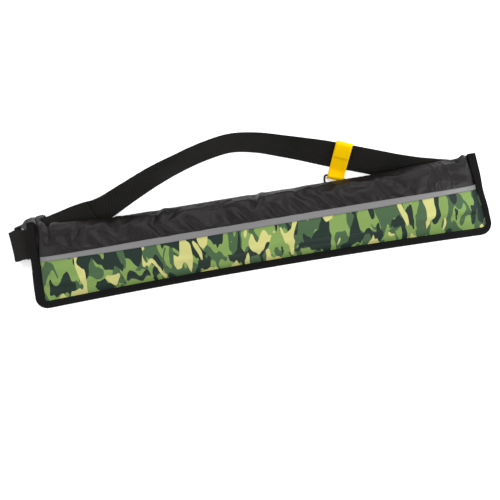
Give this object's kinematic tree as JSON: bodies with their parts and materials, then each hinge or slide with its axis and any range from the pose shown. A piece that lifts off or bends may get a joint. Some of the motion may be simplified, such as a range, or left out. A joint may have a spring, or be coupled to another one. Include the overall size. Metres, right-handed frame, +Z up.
{
  "type": "inflatable life belt",
  "caption": "Waist-belt life preserver: long soft pouch with a printed lower panel, reflective stripe and bound edge, on a buckled webbing belt with a ring tab.",
  "frame": {"origin": "on the surface the belt lies on, under the middle of the whole belt", "axes": "+X along the pouch towards its unbuckled end, +Y from the bound edge towards the belt's arch, +Z up"},
  "size_m": [0.6312, 0.1836, 0.0432],
  "materials": {
    "nylon": "coated black nylon, softly creased",
    "print": "printed polyester in a common woodland camouflage",
    "reflective": "grey reflective tape",
    "binding": "ribbed black binding tape",
    "webbing": "ribbed black webbing",
    "buckle": "smooth black acetal",
    "yellow_webbing": "bright yellow webbing",
    "ring": "smooth black"
  },
  "bodies": {
    "root": {"upper_panel": "nylon", "camo_panel": "print", "reflective_stripe": "reflective", "back_panel": "nylon", "edge_binding": "binding", "waist_strap": "webbing", "buckle_stub": "webbing", "buckle_socket": "buckle", "buckle_plug": "buckle", "ring_tab": "yellow_webbing", "clip_ring": "ring"}
  },
  "joints": []
}
